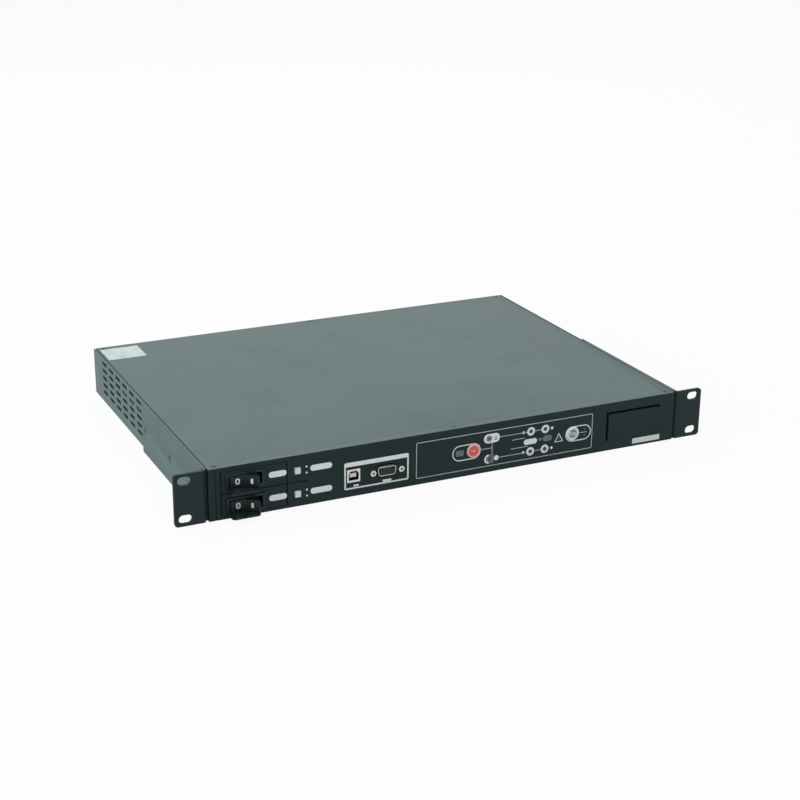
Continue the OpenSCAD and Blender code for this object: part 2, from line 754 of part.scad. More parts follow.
// ---------- rear ----------

rear_y = case_d - sheet_t;
inlet_xs = [-186, -142];
inlet_face = [40, 28];
inlet_well = [27, 19];
inlet_well_d = 18;
rear_z = -0.5;
main_outlet_x = 142;
bank_xs = [-57, 62];
bank_pitch = 28;
bank_face = [116, 27];
earth_x = 182;

module rear_panel() color(case_grey) difference() {
    union() {
        block([-inner_w / 2 + 0.1, rear_y, floor_z], [inner_w / 2 - 0.1, case_d, under_cover_z - 0.1]);
        for (z = [under_cover_z - 0.1 - sheet_t, floor_z])
            block([-inner_w / 2 + 0.6, case_d - flange_d, z], [inner_w / 2 - 0.6, rear_y + e, z + sheet_t]);
    }
    for (x = inlet_xs) translate([x, rear_y, rear_z]) cube([31.4, 8, 23.4], center = true);
    translate([main_outlet_x, rear_y, rear_z]) cube([31.4, 8, 23.4], center = true);
    for (x = bank_xs) translate([x, rear_y, rear_z]) cube([112.4, 8, 22.8], center = true);
    translate([earth_x, 0, -8]) bar_y(5.2, case_d - 4, case_d + 1);
    for (x = [inlet_xs[0], inlet_xs[1], main_outlet_x], side = [-1, 1])
        translate([x + side * 17.6, 0, rear_z]) bar_y(3.1, case_d - 4, case_d + 1, 24);
    for (x = [-cover_screw_x, 0, cover_screw_x])
        translate([x, case_d - cover_screw_y, under_cover_z - 2 * sheet_t])
            cylinder(d = cover_screw_d + 0.1, h = 3 * sheet_t, $fn = 32);
}

// Outline of a plug well: a rectangle with its two upper corners cut off
module well_outline(w, h, cut) {
    polygon([[-w / 2, -h / 2], [w / 2, -h / 2], [w / 2, h / 2 - cut], [w / 2 - cut, h / 2],
        [-w / 2 + cut, h / 2], [-w / 2, h / 2 - cut]]);
}

pin_places = [[-6.5, -3.2], [6.5, -3.2], [0, 4]];

// Appliance inlet: flange outside, body through the panel, deep well for the plug
module inlet(x) color(plastic_black) translate([x, 0, rear_z]) difference() {
    union() {
        upright(case_d, case_d + 2.6) round_rect(inlet_face[0] + 2, inlet_face[1], 3);
        upright(case_d - 22, case_d + 0.1) round_rect(31, 23, 2);
    }
    upright(case_d + 2.6 - inlet_well_d, case_d + 4) well_outline(inlet_well[0], inlet_well[1], 4);
    for (p = pin_places) translate([p[0], case_d - 20, p[1]]) cube([8, 30, 2], center = true);
    for (side = [-1, 1]) translate([side * 17.6, 0, 0]) bar_y(3.2, case_d - 1, case_d + 4, 24);
}

module inlet_1() inlet(inlet_xs[0]);
module inlet_2() inlet(inlet_xs[1]);

module inlet_pins() color("goldenrod")
    for (x = inlet_xs, p = pin_places)
        translate([x + p[0], case_d - 14.5, rear_z + p[1]]) cube([8, 30, 2], center = true);

// Socket face: a groove round a central block with three contact slots
module socket_cut(outer, block_size, slot, places) {
    difference() {
        upright(case_d - 10, case_d + 4) well_outline(outer[0], outer[1], 4);
        upright(case_d - 12, case_d + 5) well_outline(block_size[0], block_size[1], 3);
    }
    for (p = places) translate([p[0], case_d, p[1]]) cube([slot[0], 16, slot[1]], center = true);
}

module main_outlet() color(plastic_black) translate([main_outlet_x, 0, rear_z]) difference() {
    union() {
        upright(case_d, case_d + 2.6) round_rect(inlet_face[0] + 2, inlet_face[1], 3);
        upright(case_d - 22, case_d + 0.1) round_rect(31, 23, 2);
    }
    socket_cut([28, 20], [23.4, 15.4], [8.2, 2.3], pin_places);
    for (side = [-1, 1]) translate([side * 17.6, 0, 0]) bar_y(3.2, case_d - 1, case_d + 4, 24);
}

// Four smaller sockets moulded in one strip that snaps into the panel
module outlet_bank(x) color(plastic_black) translate([x, 0, rear_z]) difference() {
    union() {
        upright(case_d, case_d + 2) round_rect(bank_face[0], bank_face[1], 1.5);
        upright(case_d - 22, case_d + 0.1) round_rect(112, 22.4, 1);
    }
    for (i = [0:3]) translate([(i - 1.5) * bank_pitch, 0, 0])
        socket_cut([24, 16.4], [19.4, 11.8], [2.3, 4.2], [[-7, -1], [7, -1], [0, 2.2]]);
}

module outlet_bank_1() outlet_bank(bank_xs[0]);
module outlet_bank_2() outlet_bank(bank_xs[1]);

// Earthing stud with washer and nut
module earth_stud() color(zinc) translate([earth_x, 0, -8]) {
    bar_y(5, case_d - 6, case_d + 12, 32);
    bar_y(10, case_d, case_d + 1, 32);
    bar_y(9.2, case_d + 1, case_d + 5, 6);
    bar_y(9.2, case_d - 5, rear_y, 6);
}

module rear_screws() color(zinc)
    for (x = [inlet_xs[0], inlet_xs[1], main_outlet_x], side = [-1, 1])
        translate([x + side * 17.6, case_d + 2.6, rear_z]) rotate([-90, 0, 0]) pan_screw(2.9, 5.4, 8);

base_tray();
top_cover();
front_panel();
rear_panel();
rack_ear_left();
rack_ear_right();
ear_screws();
cover_screws();
breaker_plate_upper();
breaker_plate_lower();
breaker_body_upper();
breaker_body_lower();
breaker_rocker_upper();
breaker_rocker_lower();
breaker_tabs();
select_button_upper();
select_button_lower();
select_switch_upper();
select_switch_lower();
select_board();
usb_shell();
usb_insert();
serial_shell();
serial_insert();
serial_posts();
mimic_board();
status_lamps();
red_button();
white_button();
red_button_switch();
white_button_switch();
card_slot_cover();
card_slot_screws();
power_board();
control_board();
board_pillars();
board_screws();
heat_sink();
thyristor_1();
thyristor_2();
thyristor_3();
thyristor_4();
relay_1();
relay_2();
current_sensors();
supply_transformer();
filter_capacitors();
power_bars();
inlet_1();
inlet_2();
inlet_pins();
main_outlet();
outlet_bank_1();
outlet_bank_2();
fan_frame();
fan_rotor();
earth_stud();
rear_screws();
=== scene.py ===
"""Dresses the one-unit rack transfer switch: paints, mouldings, printed panel and small fittings.

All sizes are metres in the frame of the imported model: X right, Y to the rear, Z up, with the
origin in the middle of the rack slots on the front face of the ears.
"""
import json
import math

import bmesh
import bpy
from mathutils import Matrix, Quaternion, Vector

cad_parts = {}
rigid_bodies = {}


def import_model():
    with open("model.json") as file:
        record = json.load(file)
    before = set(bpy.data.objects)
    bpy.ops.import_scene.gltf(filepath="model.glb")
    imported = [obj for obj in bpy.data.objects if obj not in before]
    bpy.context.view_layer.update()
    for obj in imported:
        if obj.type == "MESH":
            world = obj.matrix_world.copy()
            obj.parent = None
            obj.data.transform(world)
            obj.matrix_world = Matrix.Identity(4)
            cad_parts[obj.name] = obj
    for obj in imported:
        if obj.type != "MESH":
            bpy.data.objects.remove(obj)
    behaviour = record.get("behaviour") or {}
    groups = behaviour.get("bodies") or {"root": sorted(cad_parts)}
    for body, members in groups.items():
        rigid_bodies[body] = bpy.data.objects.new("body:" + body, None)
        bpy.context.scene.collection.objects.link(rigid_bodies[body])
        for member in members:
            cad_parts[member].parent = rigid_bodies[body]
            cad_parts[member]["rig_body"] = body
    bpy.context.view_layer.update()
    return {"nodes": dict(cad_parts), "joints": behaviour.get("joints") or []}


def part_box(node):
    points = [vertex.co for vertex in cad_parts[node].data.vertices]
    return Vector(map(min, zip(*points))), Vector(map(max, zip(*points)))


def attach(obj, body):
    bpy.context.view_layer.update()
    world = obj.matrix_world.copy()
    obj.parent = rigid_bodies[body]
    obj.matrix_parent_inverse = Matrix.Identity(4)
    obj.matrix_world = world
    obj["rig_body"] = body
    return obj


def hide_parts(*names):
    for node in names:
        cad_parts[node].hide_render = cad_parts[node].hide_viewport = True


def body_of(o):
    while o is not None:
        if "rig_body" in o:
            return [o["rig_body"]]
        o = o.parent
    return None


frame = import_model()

MM = 0.001

# ---------------------------------------------------------------- camera
# A long lens a metre and a half away, from the front left and some twenty degrees above.
AIM = Vector((24.8, 160, -11.1)) * MM
CAMERA_AZIMUTH = math.radians(-25.29)
CAMERA_HEIGHT = math.radians(20.38)
CAMERA_DISTANCE = 1.5121
CAMERA_ROLL = math.radians(0.44)
LENS_LENGTH = 74.54
SENSOR_WIDTH = 36

camera = bpy.data.objects.new("camera", bpy.data.cameras.new("camera"))
bpy.context.scene.collection.objects.link(camera)
bpy.context.scene.camera = camera
camera.data.sensor_width = SENSOR_WIDTH
camera.data.lens = LENS_LENGTH
camera.data.clip_start = 0.05
camera.data.clip_end = 30
towards_camera = Vector((
    math.sin(CAMERA_AZIMUTH) * math.cos(CAMERA_HEIGHT),
    -math.cos(CAMERA_AZIMUTH) * math.cos(CAMERA_HEIGHT),
    math.sin(CAMERA_HEIGHT),
))
camera.location = AIM + towards_camera * CAMERA_DISTANCE
camera.rotation_mode = "QUATERNION"
level = (-towards_camera).to_track_quat("-Z", "Y")
camera.rotation_quaternion = level @ Quaternion((0, 0, 1), CAMERA_ROLL)


# ---------------------------------------------------------------- studio
# A white sweep under soft boxes. The class below writes shader sums as plain expressions.
class Signal:
    """One output of a finish's nodes; sums, products and comparisons of it add Math nodes."""

    def __init__(self, finish, socket):
        self.finish = finish
        self.socket = socket

    def math(self, operation, first, second):
        return self.finish.node("Math", {0: first, 1: second}, operation=operation)

    def __add__(self, other):
        return self.math("ADD", self, other)

    def __radd__(self, other):
        return self.math("ADD", other, self)

    def __mul__(self, other):
        return self.math("MULTIPLY", self, other)

    def __gt__(self, other):
        return self.math("GREATER_THAN", self, other)

    def __lt__(self, other):
        return self.math("LESS_THAN", self, other)


class Finish:
    """A material in the making, patterned in the object's own coordinates."""

    def __init__(self, name):
        self.material = bpy.data.materials.new(name)
        self.material.use_nodes = True
        self.tree = self.material.node_tree
        self.tree.nodes.clear()

    def node(self, kind, inputs=None, output=0, **settings):
        """Adds one shader node; a Signal among the inputs is linked, any other value is set."""
        made = self.tree.nodes.new("ShaderNode" + kind)
        for setting, value in settings.items():
            setattr(made, setting, value)
        for socket, value in (inputs or {}).items():
            if isinstance(value, Signal):
                self.tree.links.new(value.socket, made.inputs[socket])
            else:
                made.inputs[socket].default_value = value
        return Signal(self, made.outputs[output]) if made.outputs else None

    def place(self):
        return self.node("TexCoord", output="Object")

    def along(self, axis):
        """The coordinate in metres along X, Y or Z."""
        return self.node("SeparateXYZ", {0: self.place()}, output=axis)

    def noise(self, size, detail=3.0, stretch=(1, 1, 1), centre=(0, 0, 0)):
        """Cloudy noise, 0 to 1, whose patches are about size metres across."""
        where = self.node("Mapping", {"Vector": self.place(), "Scale": stretch, "Location": centre})
        return self.node("TexNoise", {"Vector": where, "Scale": 1 / size, "Detail": detail})

    def clamp(self, value, low, high, to_low=0.0, to_high=1.0):
        """value from low to high becomes to_low to to_high, and no further."""
        return self.node("MapRange", {0: value, 1: low, 2: high, 3: to_low, 4: to_high})

    def blend(self, amount, first, second):
        """A colour: first where amount is 0, second where it is 1."""
        return self.node("Mix", {0: amount, 6: first, 7: second}, output=2, data_type="RGBA")

    def close(self, height=None, depth=0.0, **shader):
        """Ends in one Principled shader; height in 0 to 1 raises the surface by depth metres."""
        values = {name.replace("_", " "): value for name, value in shader.items()}
        if height is not None:
            values["Normal"] = self.node("Bump", {"Distance": depth, "Height": height})
        self.node("OutputMaterial", {"Surface": self.node("BsdfPrincipled", values)})
        return self.material


def white_from_camera(name, lit_colour, seen_share):
    """Pale matt surface that the camera and mirrors see as white, with a trace of shadow left."""
    finish = Finish(name)
    ray = {out: finish.node("LightPath", output=out) for out in ("Is Camera Ray", "Is Glossy Ray")}
    matt = finish.node("BsdfDiffuse", {"Color": lit_colour})
    glow = finish.node("Emission", {"Color": (1, 1, 1, 1), "Strength": 1.0})
    seen = finish.clamp(ray["Is Camera Ray"] + ray["Is Glossy Ray"], 0, 1)
    mixed = finish.node("MixShader", {0: seen * seen_share, 1: matt, 2: glow})
    finish.node("OutputMaterial", {"Surface": mixed})
    return finish.material


FLOOR_REACH = 6.0
FLOOR_GAP = 0.2 * MM
floor_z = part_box("base_tray")[0].z
floor_mesh = bpy.data.meshes.new("floor")
floor_corners = [(x * FLOOR_REACH, y * FLOOR_REACH, floor_z - FLOOR_GAP)
                 for x, y in ((-1, -1), (1, -1), (1, 1), (-1, 1))]
floor_mesh.from_pydata(floor_corners, [], [(0, 1, 2, 3)])
floor_mesh.materials.append(white_from_camera("white_sweep", (0.82, 0.82, 0.82, 1), 0.93))
floor = bpy.data.objects.new("floor", floor_mesh)
bpy.context.scene.collection.objects.link(floor)

bpy.context.scene.view_settings.view_transform = "Standard"
WORLD_LIGHT = 0.42
world = bpy.data.worlds.new("studio")
bpy.context.scene.world = world
world.use_nodes = True
sky = world.node_tree
background = sky.nodes["Background"]
# The world is white where it is seen, mirrored or refracted, and dimmer as a light.
light_path = sky.nodes.new("ShaderNodeLightPath")
camera_or_glossy = sky.nodes.new("ShaderNodeMath")
camera_or_glossy.operation = "MAXIMUM"
seen_white = sky.nodes.new("ShaderNodeMath")
seen_white.operation = "MAXIMUM"
strength = sky.nodes.new("ShaderNodeMapRange")
sky.links.new(light_path.outputs["Is Camera Ray"], camera_or_glossy.inputs[0])
sky.links.new(light_path.outputs["Is Glossy Ray"], camera_or_glossy.inputs[1])
sky.links.new(camera_or_glossy.outputs[0], seen_white.inputs[0])
sky.links.new(light_path.outputs["Is Transmission Ray"], seen_white.inputs[1])
sky.links.new(seen_white.outputs[0], strength.inputs[0])
strength.inputs["To Min"].default_value = WORLD_LIGHT
strength.inputs["To Max"].default_value = 1.0
sky.links.new(strength.outputs[0], background.inputs["Strength"])
background.inputs["Color"].default_value = (1, 1, 1, 1)


def soft_box(name, place, size, power):
    lamp = bpy.data.lights.new(name, "AREA")
    lamp.shape = "RECTANGLE"
    lamp.size, lamp.size_y = size
    lamp.energy = power
    stand = bpy.data.objects.new(name, lamp)
    bpy.context.scene.collection.objects.link(stand)
    stand.location = place
    stand.rotation_mode = "QUATERNION"
    stand.rotation_quaternion = (AIM - Vector(place)).to_track_quat("-Z", "Y")


soft_box("key_box", (-1.2, -0.4, 1.7), (1.6, 1.2), 12)
soft_box("rear_box", (0.5, 1.9, 1.5), (1.8, 0.9), 15)
soft_box("side_box", (-2.0, 0.5, 0.5), (1.2, 0.8), 21)
soft_box("front_box", (0.5, -1.6, 1.5), (1.2, 0.8), 8)


# ---------------------------------------------------------------- case sheet metal
# The tray, cover and rear wall are 1.2 mm zinc-coated steel, cut, folded and powder coated near
# black with a fine texture; away from the cut front edges they are painted a grey green as painted
# sheen, the light the coat reflects at a glancing view. The cover lies on the tray's ledges and is
# screwed down.
# Painted sheen: this grey green, with a dustier tone, stands for the light the near black coat
# reflects on tops and sides.
PAINTED_SHEEN_GREY = (0.054, 0.1, 0.098, 1)
PAINTED_SHEEN_GREY_DUSTY = (0.061, 0.11, 0.108, 1)
FRONT_BLACK = (0.0105, 0.0235, 0.0255, 1)
FRONT_BLACK_DUSTY = (0.0135, 0.028, 0.03, 1)
EDGE_ROUND = 0.3 * MM
CUT_EDGE = 0.3 * MM
# Painted shade: the tray's inner faces under the cover get no painted sheen grey; these two set
# where they begin.
INSIDE_OVER_FLOOR = 1.3 * MM
INSIDE_FROM_WALL = 1.25 * MM
WELD_GAP = 2e-6
FLAT_ANGLE = math.radians(0.5)
BEVEL_ANGLE = math.radians(40)
SHARP_ANGLE = math.radians(35)


def powder_coat(name, sheen, roughness, black_where=None):
    """Textured powder coat: orange peel, faint clouding, and duller patches from handling.

    black_where takes the finish and gives 1 where the coat is near black, and 0 where it takes the
    painted sheen grey.
    """
    coat = Finish(name)
    cloud = coat.clamp(coat.noise(0.12, detail=4), 0.35, 0.65)
    grain = coat.noise(0.0011, detail=2)
    peel = coat.noise(0.0022, detail=2)
    rubbed = coat.clamp(coat.noise(0.045, detail=5, centre=(0.3, 0.1, 0)), 0.52, 0.72)
    fleck = coat.clamp(grain, 0.3, 0.7) * 0.4 + cloud * 0.6
    black = coat.blend(fleck, FRONT_BLACK, FRONT_BLACK_DUSTY)
    colour = black
    if black_where:
        # Where black_where gives 0, the colour is the painted sheen grey.
        colour = coat.blend(black_where(coat), coat.blend(fleck, PAINTED_SHEEN_GREY, PAINTED_SHEEN_GREY_DUSTY), black)
    return coat.close(
        height=peel * 0.7 + grain * 0.3, depth=0.00006,
        Base_Color=colour,
        Roughness=coat.clamp(peel, 0.3, 0.7, roughness, roughness + 0.06) + rubbed * 0.05,
        Specular_IOR_Level=sheen)


def cover_black(coat):
    """The cover's cut front edge, which keeps the near black coat instead of the painted sheen
    grey.
    """
    return coat.along("Y") < CUT_EDGE


def tray_black(coat):
    """The tray's cut front edges keep the near black coat, and so do its inner faces under the
    cover, as painted shade there; elsewhere the coat takes the painted sheen grey.
    """
    across = coat.node("Math", {0: coat.along("X")}, operation="ABSOLUTE")
    inside = (across < wall_inside) * (coat.along("Z") > floor_z + INSIDE_OVER_FLOOR)
    return coat.clamp(inside + (coat.along("Y") < tray_front + CUT_EDGE), 0, 1)


def eased(node, width, material, segments=2):
    """A CAD node's shape with its triangles joined and its sharp edges broken by a small round."""
    source = frame["nodes"][node]
    mesh = source.data.copy()
    mesh.name = node + "_eased"
    shape = bmesh.new()
    shape.from_mesh(mesh)
    bmesh.ops.remove_doubles(shape, verts=shape.verts, dist=WELD_GAP)
    bmesh.ops.dissolve_limit(
        shape, angle_limit=FLAT_ANGLE, verts=shape.verts, edges=shape.edges)
    shape.to_mesh(mesh)
    shape.free()
    mesh.materials.clear()
    mesh.materials.append(material)
    piece = bpy.data.objects.new(node + "_eased", mesh)
    bpy.context.scene.collection.objects.link(piece)
    rounding = piece.modifiers.new("edge_round", "BEVEL")
    rounding.width = width
    rounding.segments = segments
    rounding.limit_method = "ANGLE"
    rounding.angle_limit = BEVEL_ANGLE
    rounding.harden_normals = True
    mesh.shade_smooth()
    mesh.set_sharp_from_angle(angle=SHARP_ANGLE)
    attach(piece, body_of(source)[0])
    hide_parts(node)
    return piece


tray_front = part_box("base_tray")[0].y
wall_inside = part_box("base_tray")[1].x - INSIDE_FROM_WALL
tray_paint = powder_coat("tray_paint", 0.22, 0.44, tray_black)
cover_paint = powder_coat("cover_paint", 0.22, 0.44, cover_black)
eased("base_tray", EDGE_ROUND, tray_paint)
eased("top_cover", EDGE_ROUND, cover_paint)
eased("rear_panel", EDGE_ROUND, cover_paint)


# ---------------------------------------------------------------- front sheet metal
# The front panel, the two breaker plates and the blanking plate of the card slot are steel with
# the same coat in near black. The ears are 2.5 mm steel in that coat, with the painted sheen grey
# on their flanges.
# The ear's front plate and bend stay near black, which on the bend is painted shade; the flange
# behind takes the painted sheen grey.
BEND_DEEP = 5 * MM
PLATE_ROUND = 0.2 * MM


def ear_black(coat):
    """The ear's front plate and its bend, near black; on the bend this is painted shade."""
    return coat.along("Y") < BEND_DEEP


front_paint = powder_coat("front_paint", 0.15, 0.5)
for sheet in ("front_panel", "breaker_plate_upper", "breaker_plate_lower", "card_slot_cover"):
    eased(sheet, PLATE_ROUND, front_paint)
ear_paint = powder_coat("ear_paint", 0.18, 0.48, ear_black)
for ear in ("rack_ear_left", "rack_ear_right"):
    eased(ear, EDGE_ROUND, ear_paint)


# ---------------------------------------------------------------- case and ear screws
# Blackened countersunk steel screws, three along the front and three along the rear of the cover
# and three through each ear flange, with the finish worn a little paler in small patches.
def blackened_steel():
    steel = Finish("blackened_steel")
    wear = steel.clamp(steel.noise(0.0009, detail=4), 0.55, 0.7)
    return steel.close(
        height=steel.noise(0.0004), depth=0.00002,
        Base_Color=steel.blend(wear, (0.022, 0.042, 0.04, 1), (0.05, 0.085, 0.082, 1)),
        Roughness=steel.clamp(wear, 0, 1, 0.46, 0.34),
        Specular_IOR_Level=0.3,
        Metallic=0.2)


def dress(material, *nodes):
    """CAD nodes whose shape is right only take a finish."""
    for node in nodes:
        mesh = frame["nodes"][node].data
        mesh.materials.clear()
        mesh.materials.append(material)


screw_steel = blackened_steel()
dress(screw_steel, "cover_screws", "ear_screws")


# ---------------------------------------------------------------- circuit breakers
# Two breakers: black glass-filled bodies snapped into their plates, each with a rocker on its
# own axle stubs and a shelf under it that keeps fingers off. The tabs behind are brass.
MOULDED_BLACK = (0.0065, 0.0135, 0.015, 1)
MOULDING_ROUND = 0.25 * MM
ROCKER_ROUND = 0.35 * MM


def moulded(name, colour, worn_colour, roughness, grain_size=0.0006):
    """Moulded plastic with a spark-eroded grain, a little paler and glossier where handled."""
    plastic = Finish(name)
    handled = plastic.clamp(plastic.noise(0.012, detail=4), 0.45, 0.7)
    grain = plastic.noise(grain_size, detail=2)
    return plastic.close(
        height=grain, depth=0.00002,
        Base_Color=plastic.blend(handled, colour, worn_colour),
        Roughness=plastic.clamp(handled, 0, 1, roughness, roughness - 0.08),
        Specular_IOR_Level=0.3)


black_plastic = moulded("black_moulding", MOULDED_BLACK, (0.0095, 0.018, 0.0195, 1), 0.42)
for level_name in ("upper", "lower"):
    eased("breaker_body_" + level_name, MOULDING_ROUND, black_plastic)
    eased("breaker_rocker_" + level_name, ROCKER_ROUND, black_plastic,
          segments=3)


def plated(name, colour, dull_colour, roughness):
    """Plated metal: bright, with cloudy passivation and fine drawn lines."""
    metal = Finish(name)
    cloud = metal.clamp(metal.noise(0.004, detail=4), 0.35, 0.7)
    drawn = metal.noise(0.0005, detail=2, stretch=(1, 0.05, 1))
    return metal.close(
        height=drawn, depth=0.00001,
        Base_Color=metal.blend(cloud, colour, dull_colour),
        Roughness=roughness + drawn * 0.12,
        Metallic=1.0)


brass = plated("contact_brass", (0.72, 0.56, 0.27, 1), (0.55, 0.41, 0.19, 1), 0.22)
dress(brass, "breaker_tabs")


# ---------------------------------------------------------------- printing
# Legends are white ink, screen printed on the coat: a film a few hundredths of a millimetre
# thick. Lines are swept along their outlines, and solid marks are thin plates.
INK_THICK = 0.06 * MM
INK_SUNK = 0.02 * MM


def start_tree(name, inputs):
    """A node group that takes geometry and the named inputs; returns it with its two ends."""
    tree = bpy.data.node_groups.new(name, "GeometryNodeTree")
    tree.interface.new_socket("Geometry", in_out="INPUT", socket_type="NodeSocketGeometry")
    for label, kind in inputs.items():
        tree.interface.new_socket(label, in_out="INPUT", socket_type="NodeSocket" + kind)
    tree.interface.new_socket("Geometry", in_out="OUTPUT", socket_type="NodeSocketGeometry")
    return tree, tree.nodes.new("NodeGroupInput").outputs, tree.nodes.new("NodeGroupOutput").inputs


def step(tree, kind, inputs, **settings):
    """Adds one geometry node; a socket among the inputs is linked, any other value is set."""
    made = tree.nodes.new("GeometryNode" + kind)
    for setting, value in settings.items():
        setattr(made, setting, value)
    for socket, value in inputs.items():
        if isinstance(value, bpy.types.NodeSocket):
            tree.links.new(value, made.inputs[socket])
        else:
            made.inputs[socket].default_value = value
    return made.outputs[0]


def end_tree(tree, geometry, material, end):
    real = step(tree, "RealizeInstances", {"Geometry": geometry})
    tree.links.new(step(tree, "SetMaterial", {"Geometry": real, "Material": material}), end[0])


def grown(name, tree, seeds, body, values):
    """The plain mesh that a tree makes from seed points or lines, as one piece of a body."""
    seed = bpy.data.objects.new(name + "_seed", seeds)
    growth = seed.modifiers.new("growth", "NODES")
    growth.node_group = tree
    for item in tree.interface.items_tree:
        if item.in_out == "INPUT" and item.name in values:
            growth[item.identifier] = values[item.name]
    bpy.context.scene.collection.objects.link(seed)
    ready = seed.evaluated_get(bpy.context.evaluated_depsgraph_get())
    mesh = bpy.data.meshes.new_from_object(ready)
    bpy.data.objects.remove(seed)
    return piece_of(name, mesh, body)


def piece_of(name, mesh, body):
    mesh.name = name
    piece = bpy.data.objects.new(name, mesh)
    bpy.context.scene.collection.objects.link(piece)
    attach(piece, body)
    return piece


def line_tree():
    """Sweeps flat seed lines, drawn in XY, into ink standing on the front face."""
    tree, start, end = start_tree(
        "printed_line", {"Line width": "Float", "Ink thickness": "Float", "Ink": "Material"})
    path = step(tree, "MeshToCurve", {"Mesh": start["Geometry"]})
    level_path = step(tree, "SetCurveNormal", {"Curve": path}, mode="Z_UP")
    bead = step(tree, "CurvePrimitiveQuadrilateral",
                {"Width": start["Line width"], "Height": start["Ink thickness"]})
    swept = step(tree, "CurveToMesh",
                 {"Curve": level_path, "Profile Curve": bead, "Fill Caps": True})
    stood = step(tree, "Transform", {"Geometry": swept, "Rotation": (math.pi / 2, 0, 0)})
    end_tree(tree, stood, start["Ink"], end)
    return tree


def screen_ink(name, colour, thin_colour):
    paint = Finish(name)
    thin = paint.clamp(paint.noise(0.0012, detail=4), 0.35, 0.75)
    return paint.close(
        height=paint.noise(0.0005), depth=0.00001,
        Base_Color=paint.blend(thin, colour, thin_colour),
        Roughness=paint.clamp(thin, 0, 1, 0.5, 0.62))


def arc(x, z, radius, first, last, steps=8):
    """Points in millimetres on an arc from one angle to another, in degrees."""
    angles = [math.radians(first + (last - first) * i / steps) for i in range(steps + 1)]
    return [(x + radius * math.cos(a), z + radius * math.sin(a)) for a in angles]


def rounded(x0, z0, x1, z1, radius):
    """A rectangle with round corners; with the radius at half its height it is a pill."""
    left, right = x0 + radius, x1 - radius
    low, high = z0 + radius, z1 - radius
    return (arc(right, low, radius, -90, 0) + arc(right, high, radius, 0, 90)
            + arc(left, high, radius, 90, 180) + arc(left, low, radius, 180, 270))


def pill(x, z, width, height):
    half_w, half_h = width / 2, height / 2
    return rounded(x - half_w, z - half_h, x + half_w, z + half_h, half_h - 0.01)


def circle(x, z, diameter, steps=32):
    return arc(x, z, diameter / 2, 0, 360 - 360 / steps, steps - 1)


def line_seeds(name, loops=(), strokes=()):
    """Seed edges for the line tree; outlines in millimetres, loops closed and strokes open."""
    points, edges = [], []
    closed = [(loop, True) for loop in loops]
    open_ended = [(stroke, False) for stroke in strokes]
    for outline, is_loop in closed + open_ended:
        first = len(points)
        points += [(x * MM, z * MM, 0) for x, z in outline]
        edges += [(first + i, first + i + 1) for i in range(len(outline) - 1)]
        if is_loop:
            edges.append((len(points) - 1, first))
    seeds = bpy.data.meshes.new(name)
    seeds.from_pydata(points, edges, [])
    return seeds


def plates(name, outlines, body, material, place=Matrix(), thick=INK_THICK):
    """Thin closed plates from outlines in XZ, in millimetres, standing out of a face at Y = 0."""
    shape = bmesh.new()
    for outline in outlines:
        back = [shape.verts.new((x * MM, INK_SUNK, z * MM)) for x, z in outline]
        fore = [shape.verts.new((x * MM, INK_SUNK - thick, z * MM)) for x, z in outline]
        shape.faces.new(fore)
        shape.faces.new(back[::-1])
        for i in range(len(outline)):
            j = (i + 1) % len(outline)
            shape.faces.new((fore[i], back[i], back[j], fore[j]))
    bmesh.ops.recalc_face_normals(shape, faces=shape.faces)
    shape.transform(place)
    mesh = bpy.data.meshes.new(name)
    shape.to_mesh(mesh)
    shape.free()
    mesh.materials.append(material)
    return piece_of(name, mesh, body)


white_ink = screen_ink("white_ink", (0.8, 0.84, 0.84, 1), (0.68, 0.72, 0.72, 1))
line_ink = screen_ink("line_ink", (0.46, 0.5, 0.5, 1), (0.34, 0.38, 0.38, 1))
dark_ink = screen_ink("dark_ink", (0.03, 0.04, 0.045, 1), (0.05, 0.06, 0.065, 1))
grey_ink = screen_ink("grey_ink", (0.13, 0.15, 0.15, 1), (0.09, 0.11, 0.11, 1))
printed_line = line_tree()


def print_lines(name, width, loops=(), strokes=(), body="case", ink=white_ink, height=0.04):
    """Printed lines of one width; width and height of the ink in millimetres."""
    return grown(name, printed_line, line_seeds(name, loops, strokes), body,
                 {"Line width": width * MM, "Ink thickness": 2 * height * MM, "Ink": ink})


# Solid legends beside the breakers and the two select buttons: bare pills and pilot marks.
BREAKER_LEGENDS = [pill(-156.3, z, 15, 5) for z in (8.9, -10.9)]
SELECT_LEGENDS = [pill(-119.35, z, 18.7, 5) for z in (8.9, -10.8)]
SELECT_MARKS = [circle(-131.8, z, 1.7, 12) for z in (11.0, 5.8, -8.8, -14.0)]
plates("side_legends", BREAKER_LEGENDS + SELECT_LEGENDS + SELECT_MARKS,
       "case", white_ink)


# ---------------------------------------------------------------- rocker marks
# I and O are hot stamped in white on the two slopes of each rocker, and swing with it.
ROCKER_SWING = 41
ARM_LENGTH = 12
ARM_RISE = 3
ROCKER_WAIST = 1.2
MARK_WIDE = 2.6
MARK_HIGH = 4.2
MARK_PLACE = 0.43
ON_MARK_HALF = 1.0
TIP_X = ARM_LENGTH * math.cos(math.radians(ROCKER_SWING / 2))
TIP_Y = -ARM_RISE - ARM_LENGTH * math.sin(math.radians(ROCKER_SWING / 2))
SLOPE = math.atan2(-ARM_RISE - TIP_Y, TIP_X - ROCKER_WAIST)


def slope_place(pivot, side):
    """From a mark at the origin to the middle of a rocker's left (-1) or right (1) slope."""
    waist = Vector((side * ROCKER_WAIST, -ARM_RISE, 0))
    middle = waist.lerp(Vector((side * TIP_X, TIP_Y, 0)), MARK_PLACE) * MM
    at_rest = Matrix.Rotation(math.radians(-ROCKER_SWING / 2), 4, "Z")
    return (Matrix.Translation(Vector(pivot)) @ at_rest @ Matrix.Translation(middle)
            @ Matrix.Rotation(-side * SLOPE, 4, "Z"))


